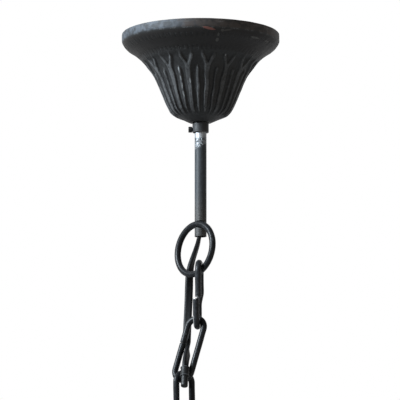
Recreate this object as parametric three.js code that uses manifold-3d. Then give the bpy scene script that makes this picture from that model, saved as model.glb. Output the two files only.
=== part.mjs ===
// Upper suspension of an old pendant lamp: a cast ceiling canopy with forked ribs, held up by a collar
// on its hanging tube, a wire ring through the tube's end, three open chain links and a twin flex.
// Millimetres, +Z up. The origin is the centre of the ceiling plane, and -Y is the near side.
import * as THREE from 'three';
import { mergeVertices } from 'three/addons/utils/BufferGeometryUtils.js';
import Module from 'manifold-3d';

const wasm = await Module();
wasm.setup();

// Clearances
const seat = 0.3; // between pieces that rest on each other
const slip = 0.3; // round pieces that slide or turn
const wireSlip = 0.55; // round the ring where it passes through the tube

// Driving dimensions
const canopy = {
  rimRadius: 66.8,
  bandHeight: 5,
  stepRadius: 61.8,
  stepDepth: 12.7,
  bellRadius: 50.3,
  bellDepth: 21,
  neckRadius: 9.3,
  height: 75.6,
  wall: 2.6,
  pairs: 15, // forked ribs, with a plain rib between each two
  firstRib: 8.5, // angle of one forked rib from the near side, degrees
  ribHeight: 1.5,
  ribStart: 2.5, // the next six are distances down the bell's outline
  armEnd: 5.2,
  armRound: 3,
  plainEnd: 16.2,
  crotch: 18,
  ribFoot: 51,
  ribFade: 7,
  armSpread: 5.9, // the rest are angles, degrees
  armHalf: 1.35,
  stemHalf: 2.9,
  plainHalf: 1.3,
  flank: 1.1,
};
const tube = { radius: 5, bore: 4.3, top: -20, end: -172.8 };
const collar = { radius: 6.9, height: 8.3, screwDrop: 5.7 };
const ring = {
  wire: 5.4,
  radius: 21.5,
  above: 10.4, // from the tube's end to the crossing
  aside: 0.65, // from the tube's axis to the crossing, as a share of the tube's radius
  facing: 42.2, // the rest are angles, degrees
  lean: -6.5,
  at: 88.1,
};
const chain = {
  wire: 5.2,
  room: 2.7, // between the thicker wire and the bow that it passes through, on each side
  straight: 18.5,
  twist: 6, // half the height in which a sprung link's back crosses over
  faces: 10,
  steps: 32,
};
// parentAt is where on its parent's wire a link hangs, and at is where on its own bow
const links = [
  { name: 'link_1', parentAt: -51.6, at: 65.5, lean: [-0.5, -3.4], facing: -8 },
  { name: 'link_2', parentAt: 60.5, at: 135, lean: [15.7, 2.9], facing: -121.3 },
  { name: 'link_3', parentAt: 137.7, at: 104.6, lean: [-1, 1.8], facing: -52.9 },
];
// The height of each link's split, its gap, and how far its halves stand to each side
const splits = [
  { split: -3, gap: 1, spring: 0.95 },
  { split: 4, gap: 0.4, spring: 0 },
  { split: -6, gap: 0.4, spring: 0 },
];
const strap = { web: -36, sheet: 2, width: 16, legs: 27, feet: 47, hole: 2.2, holeAt: 39 };
const nut = { flats: 14, height: 5 };
const washer = { radius: 8, height: 1.5 };
const grip = { radius: 7, onTube: 7, height: 15, screwDrop: 4 };
const block = { x: 17.6, length: 15, height: 11, pitch: 9.2, wall: 1.4, screwSpan: 7.6 };
const sleeve = { radius: 2, bore: 1.3, length: 13 };
const core = { radius: 0.95 };
const flex = { width: 6.8, thickness: 3.6, sides: 10, aside: 1.5, stepLength: 5.2 };
const fitting = { radius: 3.6, height: 8.6, rim: 0.9, rimOut: 0.35, stepRadius: 2.9, stepHeight: 9 };
const screwM3 = { radius: 1.5, head: 2.7, headHeight: 1.8 };
const screwM2 = { radius: 1.2, head: 1.3, headHeight: 1 };
const setScrew = { radius: 1.8, head: 2.5, headHeight: 3.1 };

// The flex's middle line below the tube, and the direction of its wide side, in degrees from +X
const flexRoute = [
  { at: [-1.2, 0.2, -173.3], turn: 90 },
  { at: [-2.4, 2, -178.4], turn: 84 },
  { at: [-4.3, 5, -184.2], turn: 78 },
  { at: [-6.3, 7.4, -189.8], turn: 70 },
  { at: [-8.2, 8.8, -196.5], turn: 54 },
  { at: [-9.3, 8.8, -204.1], turn: 34 },
  { at: [-9.7, 7.4, -213.5], turn: 16 },
  { at: [-10, 6, -223.8], turn: 4 },
  { at: [-10.4, 4.6, -234.1], turn: -4 },
  { at: [-10.9, 3.2, -244.5], turn: -8 },
  { at: [-11.3, 1.4, -254.4], turn: -18 },
  { at: [-11.3, -0.8, -262], turn: -42 },
  { at: [-10.9, -5, -267.4], turn: -88 },
  { at: [-11.3, -10, -272.4], turn: -118 },
  { at: [-12.1, -15.2, -277.6], turn: -118 },
  { at: [-12.6, -18.6, -282.2], turn: -118 },
  { at: [-12.7, -19.6, -284.2], turn: -118 },
];

const paint = new THREE.MeshStandardMaterial({ color: 0x232427, roughness: 0.42, metalness: 0.25 });
const steel = new THREE.MeshStandardMaterial({ color: 0x8d8f92, roughness: 0.4, metalness: 0.9 });
const brass = new THREE.MeshStandardMaterial({ color: 0xb08d4a, roughness: 0.35, metalness: 0.9 });
const moulded = new THREE.MeshStandardMaterial({ color: 0xd8d2c2, roughness: 0.6, metalness: 0 });
const sheath = new THREE.MeshStandardMaterial({ color: 0x17181a, roughness: 0.6, metalness: 0 });
const brown = new THREE.MeshStandardMaterial({ color: 0x5a3420, roughness: 0.55, metalness: 0 });
const blue = new THREE.MeshStandardMaterial({ color: 0x2d5fa8, roughness: 0.55, metalness: 0 });

const radians = THREE.MathUtils.degToRad;
const smooth = THREE.MathUtils.smoothstep;
const lerp = THREE.MathUtils.lerp;
const vec = (x, y, z) => new THREE.Vector3(x, y, z);
const up = vec(0, 0, 1);
const lamp = new THREE.Group();

function addPart(name, geometry, material, matrix = new THREE.Matrix4()) {
  const mesh = new THREE.Mesh(geometry, material);
  mesh.name = name;
  mesh.applyMatrix4(matrix);
  lamp.add(mesh);
  return mesh;
}

// Booleans
function solidOf(geometry) {
  const bare = geometry.clone();
  bare.deleteAttribute('normal');
  bare.deleteAttribute('uv');
  const merged = mergeVertices(bare, 1e-4);
  const mesh = new wasm.Mesh({
    numProp: 3,
    vertProperties: new Float32Array(merged.attributes.position.array),
    triVerts: new Uint32Array(merged.index.array),
  });
  return new wasm.Manifold(mesh);
}

function geometryOf(solid) {
  const mesh = solid.getMesh();
  const geometry = new THREE.BufferGeometry();
  geometry.setAttribute('position', new THREE.BufferAttribute(new Float32Array(mesh.vertProperties), 3));
  geometry.setIndex(new THREE.BufferAttribute(new Uint32Array(mesh.triVerts), 1));
  geometry.computeVertexNormals();
  return geometry;
}

function cut(geometry, ...tools) {
  return geometryOf(tools.reduce((solid, tool) => solid.subtract(solidOf(tool)), solidOf(geometry)));
}

// A skin over a stack of rings of points, closed with a fan at each end. Each ring is anticlockwise seen
// from the last ring's side, and two rings may hold different numbers of points.
function skin(rings) {
  const points = rings.flat();
  const faces = [];
  const starts = rings.map((_, i) => rings.slice(0, i).reduce((sum, one) => sum + one.length, 0));
  for (let i = 0; i + 1 < rings.length; i++) {
    const [low, high] = [rings[i].length, rings[i + 1].length];
    let [a, b] = [0, 0];
    while (a < low || b < high) {
      const lower = starts[i] + (a % low);
      const upper = starts[i + 1] + (b % high);
      if (b === high || (a < low && (a + 1) / low <= (b + 1) / high)) {
        faces.push(lower, starts[i] + ((a + 1) % low), upper);
        a += 1;
      } else {
        faces.push(lower, starts[i + 1] + ((b + 1) % high), upper);
        b += 1;
      }
    }
  }
  for (const [i, reversed] of [[0, true], [rings.length - 1, false]]) {
    const middle = rings[i].reduce((sum, point) => sum.add(point), vec(0, 0, 0));
    middle.divideScalar(rings[i].length);
    points.push(middle);
    rings[i].forEach((_, k) => {
      const pair = [starts[i] + k, starts[i] + ((k + 1) % rings[i].length)];
      faces.push(...(reversed ? pair.reverse() : pair), points.length - 1);
    });
  }
  const geometry = new THREE.BufferGeometry();
  const numbers = points.flatMap((point) => point.toArray());
  geometry.setAttribute('position', new THREE.Float32BufferAttribute(numbers, 3));
  geometry.setIndex(faces);
  geometry.computeVertexNormals();
  return geometry;
}

// Turned pieces: a profile of [radius, z] points, closed on the axis or on itself
function turned(profile, segments) {
  const points = profile.map(([r, z]) => new THREE.Vector2(r, z));
  return new THREE.LatheGeometry(points, segments).rotateX(Math.PI / 2);
}

// A sleeve's or a solid pin's profile
function pipe(outer, inner, low, high, segments) {
  return turned([[inner, low], [outer, low], [outer, high], [inner, high], [inner, low]], segments);
}

function pin(radius, low, high, segments = 14) {
  return turned([[0, low], [radius, low], [radius, high], [0, high]], segments);
}

// A screw with a slotted head, its head's underside at z 0 and its point down
function slottedScrew({ radius, head, headHeight }, length) {
  const body = turned([[0, -length], [radius * 0.8, -length], [radius, -length + radius * 0.4], [radius, 0],
    [head, 0], [head, headHeight * 0.7], [head * 0.8, headHeight], [0, headHeight]], 12);
  const slot = new THREE.BoxGeometry(head * 2.2, head * 0.3, headHeight).translate(0, 0, headHeight);
  return cut(body, slot);
}

// Canopy
const deg = (angle) => radians(angle - 90 + canopy.firstRib);

function flangeOutline() {
  const outline = new THREE.Path();
  outline.moveTo(canopy.rimRadius - 0.4, 0);
  outline.lineTo(canopy.rimRadius, -1);
  outline.lineTo(canopy.rimRadius, -canopy.bandHeight);
  const bandTurn = -canopy.bandHeight - 3.6;
  outline.quadraticCurveTo(canopy.rimRadius, bandTurn, canopy.stepRadius, -canopy.stepDepth);
  const hipRadius = lerp(canopy.stepRadius, canopy.bellRadius, 0.49);
  const hipDepth = lerp(canopy.stepDepth, canopy.bellDepth, 0.36);
  outline.quadraticCurveTo(hipRadius, -hipDepth, canopy.bellRadius, -canopy.bellDepth);
  return outline;
}

// The bell's outline over the tops of its ribs, from the flange down to the neck
function bellOutline() {
  const { bellRadius: r, bellDepth: z, neckRadius, height } = canopy;
  const shape = [[1, 0], [0.883, 0.121], [0.773, 0.266], [0.7, 0.414], [0.595, 0.652], [0.499, 0.819],
    [0.413, 0.879], [0.26, 0.958]];
  const points = shape.map(([wide, deep]) => new THREE.Vector2(r * wide, -lerp(z, height, deep)));
  return new THREE.SplineCurve([...points, new THREE.Vector2(neckRadius, -height)]);
}

// Angles and raised amounts of one forked rib and one plain rib, at a distance down the outline
function ribColumns(down) {
  const open = 1 - smooth(down, canopy.armEnd, canopy.crotch);
  const tip = 0.4 + 0.6 * smooth(down, canopy.armEnd - 1, canopy.armEnd + canopy.armRound);
  const half = canopy.armHalf * tip;
  const arm = lerp(canopy.stemHalf - canopy.armHalf, canopy.armSpread, open);
  const inner = Math.max(arm - half, 0.55);
  const foot = Math.max(inner - canopy.flank, 0.2);
  const floor = 1 - smooth(arm - half - canopy.flank, 0, 0.7);
  const fork = [[arm + half + canopy.flank, 0], [arm + half, 1], [inner, 1], [foot, floor]];
  const plain = smooth(down, canopy.plainEnd, canopy.plainEnd + 3);
  const plainHalf = canopy.plainHalf * (0.35 + 0.65 * plain);
  const gap = 180 / canopy.pairs;
  return [
    ...fork.map(([angle, raised]) => [-angle, raised]),
    ...fork.reverse(),
    [gap - plainHalf - canopy.flank, 0],
    [gap - plainHalf, plain],
    [gap + plainHalf, plain],
    [gap + plainHalf + canopy.flank, 0],
  ];
}

function canopyGeometry() {
  const flange = flangeOutline();
  const bell = bellOutline();
  const length = bell.getLength();
  const coarse = canopy.pairs * 4; // columns round the smooth flange
  const rings = flange.getPoints(4).map(({ x, y }) => Array.from({ length: coarse }, (_, i) => {
    const angle = deg((i * 360) / coarse);
    return vec(x * Math.cos(angle), x * Math.sin(angle), y);
  }));
  const forkRows = [0.7, 3, 4.6, 6.4, 9, 12, 14.8, 17, 19.4];
  const stemRows = Array.from({ length: 4 }, (_, i) => lerp(26, canopy.ribFoot, i / 3));
  const footRows = [0.5, 1].map((share) => canopy.ribFoot + share * canopy.ribFade);
  for (const down of [...forkRows, ...stemRows, ...footRows, length]) {
    const at = Math.min(down / length, 1);
    const { x: r, y: z } = bell.getPointAt(at);
    const along = bell.getTangentAt(at);
    const sunk = smooth(down, canopy.ribStart, canopy.ribStart + 3.5)
      * (1 - smooth(down, canopy.ribFoot, canopy.ribFoot + canopy.ribFade));
    const ringPoints = [];
    for (let pair = 0; pair < canopy.pairs; pair++) {
      for (const [angle, raised] of ribColumns(down)) {
        const depth = canopy.ribHeight * sunk * (1 - raised);
        const turn = deg((pair * 360) / canopy.pairs + angle);
        const radius = r + along.y * depth;
        ringPoints.push(vec(radius * Math.cos(turn), radius * Math.sin(turn), z - along.x * depth));
      }
    }
    rings.push(ringPoints);
  }
  const cavityRadius = canopy.rimRadius - canopy.wall;
  const cavity = [[0, 1], [cavityRadius, 1], [cavityRadius, -canopy.bandHeight]];
  const bellWall = canopy.wall + canopy.ribHeight;
  cavity.push([canopy.stepRadius - canopy.wall * 0.8, -canopy.stepDepth + canopy.wall * 0.6]);
  for (const at of [0.02, 0.14, 0.27, 0.4, 0.56, 0.7]) {
    const { x: r, y: z } = bell.getPointAt(at);
    const along = bell.getTangentAt(at);
    cavity.push([r + along.y * bellWall, z - along.x * bellWall]);
  }
  const floorHeight = -canopy.height + canopy.wall + 6;
  cavity.push([cavity.at(-1)[0] - 5, floorHeight], [0, floorHeight]);
  const hole = pin(tube.radius + slip, -canopy.height - 5, floorHeight + 5, 32);
  return cut(skin(rings.map((one) => one.reverse())), turned(cavity.reverse(), 40), hole);
}

addPart('canopy', canopyGeometry(), paint);

// Collar and its screw
const collarTop = -canopy.height - seat;
const screwHeight = collarTop - collar.screwDrop;
const chamfer = 0.5;
const alongMinusX = new THREE.Matrix4().makeRotationY(-Math.PI / 2);
const collarRing = turned([
  [tube.radius + slip, collarTop - collar.height],
  [collar.radius - chamfer, collarTop - collar.height],
  [collar.radius, collarTop - collar.height + chamfer],
  [collar.radius, collarTop - chamfer],
  [collar.radius - chamfer, collarTop],
  [tube.radius + slip, collarTop],
  [tube.radius + slip, collarTop - collar.height],
], 32);
const screwHole = pin(setScrew.radius + slip, 0, collar.radius * 2, 16);
screwHole.applyMatrix4(alongMinusX).translate(0, 0, screwHeight);
addPart('canopy_collar', cut(collarRing, screwHole), paint);

const screwOut = collar.radius + seat;
const setScrewGeometry = slottedScrew(setScrew, screwOut - tube.radius - seat);
addPart('set_screw', setScrewGeometry, steel,
  new THREE.Matrix4().makeTranslation(-screwOut, 0, screwHeight).multiply(alongMinusX));

// Loops of wire: the ring and the links. A loop's own axes are x across, y through and z along it.
const bowRadius = Math.max(ring.wire, chain.wire) / 2 + chain.room + chain.wire / 2;

function loopAxes(facing, lean, along) {
  const x = Math.cos(radians(facing));
  const y = Math.sin(radians(facing));
  const level = Math.cos(radians(lean));
  const through = along
    ? vec(x * along.z, y * along.z, -x * along.x - y * along.y).normalize()
    : vec(x * level, y * level, Math.sin(radians(lean)));
  const across = along ? through.clone().cross(along) : through.clone().cross(up).normalize();
  return new THREE.Matrix4().makeBasis(across, through, along ?? across.clone().cross(through));
}

// A point and the tangent of a bow, at an angle from the loop's +x side. A sprung link's upper bow stands
// to one side of its middle plane, and its lower bow to the other.
function bowPoint(radius, straight, angle, spring = 0) {
  const a = radians(angle);
  const end = Math.sign(Math.sin(a));
  return {
    point: vec(radius * Math.cos(a), end * spring, radius * Math.sin(a) + end * straight),
    tangent: vec(-Math.sin(a), 0, Math.cos(a)),
  };
}

function placed({ point, tangent }, matrix) {
  return { point: point.clone().applyMatrix4(matrix), tangent: tangent.clone().transformDirection(matrix) };
}

// Ring through the tube
const facing = vec(Math.cos(radians(ring.facing)), Math.sin(radians(ring.facing)), 0);
const ringAxes = loopAxes(ring.facing, ring.lean);
const crossing = facing.clone().multiplyScalar(-ring.aside * tube.radius).setZ(tube.end + ring.above);
const ringTop = bowPoint(ring.radius, 0, ring.at);
const ringPlace = ringAxes.clone();
ringPlace.setPosition(crossing.clone().sub(ringTop.point.clone().applyMatrix4(ringAxes)));
const ringHinge = placed(ringTop, ringPlace);
const ringGeometry = new THREE.TorusGeometry(ring.radius, ring.wire / 2, chain.faces, 44);
ringGeometry.rotateX(Math.PI / 2);
const ringMesh = addPart('hanging_ring', ringGeometry, paint, ringPlace);
ringMesh.userData.hinge = { point: ringHinge.point, axis: ringHinge.tangent };

// Hanging tube, with a cross hole near its end that breaks out of its wall
const tubeGeometry = pipe(tube.radius, tube.bore, tube.end, tube.top, 32);
const crossHole = pin(ring.wire / 2 + wireSlip, -tube.radius * 2, tube.radius * 2, 24);
const holeDrop = 0.2;
crossHole.applyQuaternion(new THREE.Quaternion().setFromUnitVectors(up, ringHinge.tangent));
crossHole.translate(crossing.x, crossing.y, crossing.z - holeDrop);
addPart('down_tube', cut(tubeGeometry, crossHole), paint);

// A link's wire, from one face of its split round to the other
class LinkWire extends THREE.Curve {
  constructor({ split, gap, spring }) {
    super();
    this.bend = Math.PI * bowRadius;
    this.leg = chain.straight * 2;
    this.start = split + gap / 2;
    this.reach = this.leg * 2 + this.bend * 2 - gap;
    this.spring = spring;
    this.behind = (chain.straight - split) * 2 + this.bend; // from the split to the same height behind
  }

  getPoint(t, target = vec(0, 0, 0)) {
    const travelled = t * this.reach;
    const side = 1 - 2 * smooth(travelled, this.behind - chain.twist, this.behind + chain.twist);
    let s = this.start + chain.straight + travelled;
    s %= this.leg * 2 + this.bend * 2;
    if (s < this.leg) {
      target.set(bowRadius, 0, s - chain.straight);
    } else if (s < this.leg + this.bend) {
      const a = (s - this.leg) / bowRadius;
      target.set(bowRadius * Math.cos(a), 0, chain.straight + bowRadius * Math.sin(a));
    } else if (s < this.leg * 2 + this.bend) {
      target.set(-bowRadius, 0, chain.straight - (s - this.leg - this.bend));
    } else {
      const a = Math.PI + (s - this.leg * 2 - this.bend) / bowRadius;
      target.set(bowRadius * Math.cos(a), 0, -chain.straight + bowRadius * Math.sin(a));
    }
    target.y = side * this.spring;
    return target;
  }
}

function linkGeometry(wireSplit) {
  const section = new THREE.Shape();
  section.absarc(0, 0, chain.wire / 2, 0, Math.PI * 2);
  const path = new LinkWire(wireSplit);
  const settings = { extrudePath: path, steps: chain.steps, curveSegments: chain.faces / 2 };
  return new THREE.ExtrudeGeometry(section, settings);
}

// Each link hangs with its bow across its parent's wire, one seat clear of it
let parent = { place: ringPlace, radius: ring.radius, straight: 0, wire: ring.wire, spring: 0 };
links.forEach((link, i) => {
  const { spring } = splits[i];
  const along = vec(Math.tan(radians(link.lean[0])), Math.tan(radians(link.lean[1])), 1).normalize();
  const place = loopAxes(link.facing, 0, along);
  const end = parent.straight ? -link.parentAt : link.parentAt;
  const carrier = placed(bowPoint(parent.radius, parent.straight, end, parent.spring), parent.place);
  const bow = placed(bowPoint(bowRadius, chain.straight, link.at, spring), place);
  const apart = carrier.tangent.clone().cross(bow.tangent).normalize();
  apart.multiplyScalar(Math.sign(apart.z) * ((parent.wire + chain.wire) / 2 + seat));
  place.setPosition(carrier.point.clone().add(apart).sub(bow.point));
  const mesh = addPart(link.name, linkGeometry(splits[i]), paint, place);
  mesh.userData.hinge = { point: carrier.point, axis: carrier.tangent };
  parent = { place, radius: bowRadius, straight: chain.straight, wire: chain.wire, spring };
});

// Flex: a flat twin cord, in one stretch for each piece that it passes
const inTube = facing.clone().multiplyScalar(flex.aside);
const gripTop = tube.top - grip.onTube + grip.height;
const tubeTurn = ring.facing + 90;
const route = [
  { at: [inTube.x, inTube.y, gripTop], turn: tubeTurn },
  { at: [inTube.x, inTube.y, crossing.z + 12], turn: tubeTurn },
  { at: [inTube.x, inTube.y, crossing.z + 2], turn: tubeTurn },
  { at: [inTube.x, inTube.y, crossing.z - 3], turn: tubeTurn },
  ...flexRoute,
];
const flexLine = new THREE.CatmullRomCurve3(route.map(({ at }) => vec(...at)), false, 'centripetal');
flexLine.arcLengthDivisions = 800;
const flexLength = flexLine.getLength();

function flexSection(u) {
  const t = flexLine.getUtoTmapping(u) * (route.length - 1);
  const i = Math.min(Math.floor(t), route.length - 2);
  const turn = radians(lerp(route[i].turn, route[i + 1].turn, t - i));
  const middle = flexLine.getPointAt(u);
  const along = flexLine.getTangentAt(u);
  const thick = along.clone().cross(vec(Math.cos(turn), Math.sin(turn), 0)).normalize();
  const wide = thick.clone().cross(along);
  const round = flex.thickness / 2;
  const perEnd = flex.sides / 2;
  return Array.from({ length: flex.sides }, (_, k) => {
    const end = k < perEnd ? 1 : -1;
    const a = Math.PI * ((k % perEnd) / (perEnd - 1) - 0.5) + (end < 0 ? Math.PI : 0);
    return middle.clone()
      .addScaledVector(wide, end * (flex.width / 2 - round) + round * Math.cos(a))
      .addScaledVector(thick, round * Math.sin(a));
  });
}

function flexStretch(from, to) {
  const steps = Math.max(2, Math.round((to - from) / flex.stepLength));
  const places = Array.from({ length: steps + 1 }, (_, i) => lerp(from, to, i / steps) / flexLength);
  return skin(places.map(flexSection));
}

// Distances along the flex at which it goes on from one piece to the next
const flexBreaks = [
  ['flex_in_tube', gripTop - tube.end],
  ['flex_at_ring', gripTop + 207],
  ['flex_at_link_1', gripTop + 248],
  ['flex_at_link_2', flexLength + seat],
];
let flexFrom = 0;
for (const [name, to] of flexBreaks) {
  addPart(name, flexStretch(flexFrom, to - seat), sheath);
  flexFrom = to;
}

// Fitting on the flex's lower end
const fittingGeometry = turned([
  [0, 0],
  [fitting.radius + fitting.rimOut, 0],
  [fitting.radius + fitting.rimOut, fitting.rim],
  [fitting.radius, fitting.rim],
  [fitting.radius, fitting.height - fitting.rim],
  [fitting.radius + fitting.rimOut, fitting.height - fitting.rim],
  [fitting.radius + fitting.rimOut, fitting.height],
  [fitting.stepRadius, fitting.height],
  [fitting.stepRadius, fitting.height + fitting.stepHeight],
  [0, fitting.height + fitting.stepHeight],
], 16);
const flexEnd = flexLine.getTangentAt(1);
const fittingTurn = new THREE.Quaternion().setFromUnitVectors(up, flexEnd);
const fittingPlace = new THREE.Matrix4().makeRotationFromQuaternion(fittingTurn);
fittingPlace.setPosition(flexLine.getPointAt(1).addScaledVector(flexEnd, seat));
addPart('flex_fitting', fittingGeometry, sheath, fittingPlace);

// Ceiling strap: a hat-shaped band with a hole for the tube, one for the block's screw and one in each foot
function strapGeometry() {
  const { web, sheet, legs, feet, width } = strap;
  const side = new THREE.Shape([[feet, 0], [legs, 0], [legs, web], [-legs, web], [-legs, 0], [-feet, 0],
    [-feet, -sheet], [-legs - sheet, -sheet], [-legs - sheet, web - sheet], [legs + sheet, web - sheet],
    [legs + sheet, -sheet], [feet, -sheet]].map(([x, z]) => new THREE.Vector2(x, z)));
  const band = new THREE.ExtrudeGeometry(side, { depth: width, bevelEnabled: false });
  band.translate(0, 0, -width / 2).rotateX(Math.PI / 2);
  const holes = [
    pin(tube.radius + slip, web - 5, web + 5, 24),
    pin(screwM3.radius + slip, web - 5, web + 5).translate(block.x, 0, 0),
    pin(strap.hole, -5, 5).translate(strap.holeAt, 0, 0),
    pin(strap.hole, -5, 5).translate(-strap.holeAt, 0, 0),
  ];
  return cut(band, ...holes);
}

addPart('ceiling_strap', strapGeometry(), steel);

// Nuts and washers that clamp the tube to the strap
function ringShape(outline) {
  const hole = new THREE.Path();
  hole.absarc(0, 0, tube.radius + slip, 0, Math.PI * 2);
  outline.holes.push(hole);
  return outline;
}

function flat(shape, bottom, height) {
  const settings = { depth: height, bevelEnabled: false, curveSegments: 12 };
  const geometry = new THREE.ExtrudeGeometry(shape, settings);
  return geometry.translate(0, 0, bottom);
}

function hexagon(flats) {
  const corners = Array.from({ length: 6 }, (_, i) => {
    const angle = radians(60 * i);
    const corner = flats / 2 / Math.cos(Math.PI / 6);
    return new THREE.Vector2(Math.cos(angle), Math.sin(angle)).multiplyScalar(corner);
  });
  return new THREE.Shape(corners);
}

function disc(radius) {
  const shape = new THREE.Shape();
  shape.absarc(0, 0, radius, 0, Math.PI * 2);
  return shape;
}

const washerOver = strap.web + seat;
const nutOver = washerOver + washer.height + seat;
const washerUnder = strap.web - strap.sheet - seat - washer.height;
const nutUnder = washerUnder - seat - nut.height;
addPart('washer_upper', flat(ringShape(disc(washer.radius)), washerOver, washer.height), steel);
addPart('tube_nut_upper', flat(ringShape(hexagon(nut.flats)), nutOver, nut.height), brass);
addPart('washer_lower', flat(ringShape(disc(washer.radius)), washerUnder, washer.height), steel);
addPart('tube_nut_lower', flat(ringShape(hexagon(nut.flats)), nutUnder, nut.height), brass);

// Cord grip on the tube's top, with a screw that presses on the flex
const gripBottom = tube.top - grip.onTube;
const gripHole = new THREE.Shape();
const gripHalf = flex.width / 2 - flex.thickness / 2;
gripHole.absarc(gripHalf, 0, flex.thickness / 2 + seat, -Math.PI / 2, Math.PI / 2);
gripHole.absarc(-gripHalf, 0, flex.thickness / 2 + seat, Math.PI / 2, Math.PI * 1.5);
const slotSettings = { depth: grip.height, bevelEnabled: false, curveSegments: 8 };
const gripSlot = new THREE.ExtrudeGeometry(gripHole, slotSettings);
gripSlot.rotateZ(radians(tubeTurn)).translate(inTube.x, inTube.y, tube.top - 1);
const gripScrewHeight = gripTop - grip.screwDrop;
const gripScrewTurn = new THREE.Quaternion().setFromUnitVectors(up, facing);
const gripScrewHole = pin(screwM3.radius + slip, 0, grip.radius * 2, 16).applyQuaternion(gripScrewTurn);
gripScrewHole.translate(0, 0, gripScrewHeight);
const gripBore = pin(tube.radius + slip, gripBottom - 1, tube.top + seat, 32);
const gripBody = pin(grip.radius, gripBottom, gripTop, 32);
addPart('cord_grip', cut(gripBody, gripBore, gripSlot, gripScrewHole), moulded);

const gripScrewPlace = new THREE.Matrix4().makeRotationFromQuaternion(gripScrewTurn);
gripScrewPlace.setPosition(facing.clone().multiplyScalar(grip.radius + seat).setZ(gripScrewHeight));
const gripScrewReach = grip.radius - flex.aside - flex.thickness / 2;
addPart('grip_screw', slottedScrew(screwM3, gripScrewReach), steel, gripScrewPlace);

// Terminal block on the strap, with a brass sleeve and two screws for each core
const blockBottom = strap.web + seat;
const boreHeight = blockBottom + block.height / 2;
const bores = [block.x - block.pitch / 2, block.x + block.pitch / 2];
const boreRadius = sleeve.radius + slip;
const blockWidth = block.pitch + 2 * (boreRadius + block.wall);
const screwPlaces = [-block.screwSpan / 2, block.screwSpan / 2];
const blockHole = pin(screwM3.radius + slip, -block.height, block.height);
const blockHoles = [blockHole.translate(block.x, 0, boreHeight)];
for (const x of bores) {
  const bore = pin(boreRadius, -block.length, block.length).rotateX(Math.PI / 2);
  blockHoles.push(bore.translate(x, 0, boreHeight));
  for (const y of screwPlaces) {
    blockHoles.push(pin(screwM2.head + slip, 0, block.height, 12).translate(x, y, boreHeight));
  }
}
const blockBody = new THREE.BoxGeometry(blockWidth, block.length, block.height);
addPart('terminal_block', cut(blockBody.translate(block.x, 0, boreHeight), ...blockHoles), moulded);

const blockTop = blockBottom + block.height;
const blockScrew = slottedScrew(screwM3, block.height + strap.sheet + 2);
addPart('block_screw', blockScrew.translate(block.x, 0, blockTop + seat), steel);

const screwRise = 2.4; // a terminal screw's head above the sleeve's axis
bores.forEach((x, i) => {
  const side = ['brown', 'blue'][i];
  const barrel = pipe(sleeve.radius, sleeve.bore, -sleeve.length / 2, sleeve.length / 2, 12);
  const threads = screwPlaces.map((y) => pin(screwM2.radius + slip, 0, 5, 10).translate(0, y, 0));
  const sleeveGeometry = cut(barrel.rotateX(Math.PI / 2), ...threads).translate(x, 0, boreHeight);
  addPart(`sleeve_${side}`, sleeveGeometry, brass);
  screwPlaces.forEach((y, k) => {
    const reach = screwRise - core.radius - seat;
    const screw = slottedScrew(screwM2, reach).translate(x, y, boreHeight + screwRise);
    addPart(`terminal_screw_${side}_${k + 1}`, screw, steel);
  });
});

// Cores from the flex's upper end into the sleeves
const coreStart = [-1.6, 1.6].map((side) => {
  const turn = radians(tubeTurn);
  return [inTube.x + side * Math.cos(turn), inTube.y + side * Math.sin(turn), gripTop + seat];
});
const coreArches = [
  [[0, -0.2, 4.6], [3.4, -6.2, 7.8], [7.8, -11, 3.5]],
  [[0.1, -0.2, 5.4], [6, -5.4, 9.4], [14.6, -11.8, 7]],
];
const entry = -screwPlaces[1] - core.radius;
[['core_brown', brown], ['core_blue', blue]].forEach(([name, material], i) => {
  const [x, y, z] = coreStart[i];
  const points = [
    coreStart[i],
    ...coreArches[i].map(([dx, dy, dz]) => [x + dx, y + dy, z + dz]),
    [bores[i], -14.5, boreHeight + 11],
    [bores[i], -13.6, boreHeight + 3.6],
    [bores[i], -10.4, boreHeight + 0.4],
    [bores[i], -7.5, boreHeight],
    [bores[i], entry, boreHeight],
  ];
  const line = new THREE.CatmullRomCurve3(points.map((at) => vec(...at)), false, 'centripetal');
  const section = disc(core.radius);
  const settings = { extrudePath: line, steps: 22, curveSegments: 4 };
  addPart(name, new THREE.ExtrudeGeometry(section, settings), material);
});

export default lamp;
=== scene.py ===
import math
from functools import reduce

import bmesh
import bpy
import numpy as np
from mathutils import Matrix, Vector, noise


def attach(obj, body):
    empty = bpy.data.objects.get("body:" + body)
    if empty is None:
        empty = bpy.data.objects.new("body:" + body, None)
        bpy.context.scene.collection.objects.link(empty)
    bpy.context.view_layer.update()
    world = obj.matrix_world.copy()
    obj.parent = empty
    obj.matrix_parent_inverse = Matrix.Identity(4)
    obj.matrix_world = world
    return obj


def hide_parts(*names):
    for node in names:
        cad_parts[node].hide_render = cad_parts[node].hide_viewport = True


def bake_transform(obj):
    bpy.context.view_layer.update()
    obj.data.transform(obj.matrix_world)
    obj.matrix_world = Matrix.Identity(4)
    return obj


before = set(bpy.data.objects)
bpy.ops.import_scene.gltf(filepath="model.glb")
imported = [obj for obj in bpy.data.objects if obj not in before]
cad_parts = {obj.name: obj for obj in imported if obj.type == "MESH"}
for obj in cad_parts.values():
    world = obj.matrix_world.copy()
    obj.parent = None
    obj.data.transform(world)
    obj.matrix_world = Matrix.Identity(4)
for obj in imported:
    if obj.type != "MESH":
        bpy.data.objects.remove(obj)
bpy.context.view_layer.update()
scene = bpy.context.scene
mm = 0.001  # every size in the dictionaries below is in millimetres


# Camera
cameraView = {"place": (-0.5, -2200, -479.7), "tilt": 8.7369, "lens": 238.48, "sensor": 36,
              "clips": (50, 50000)}

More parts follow.
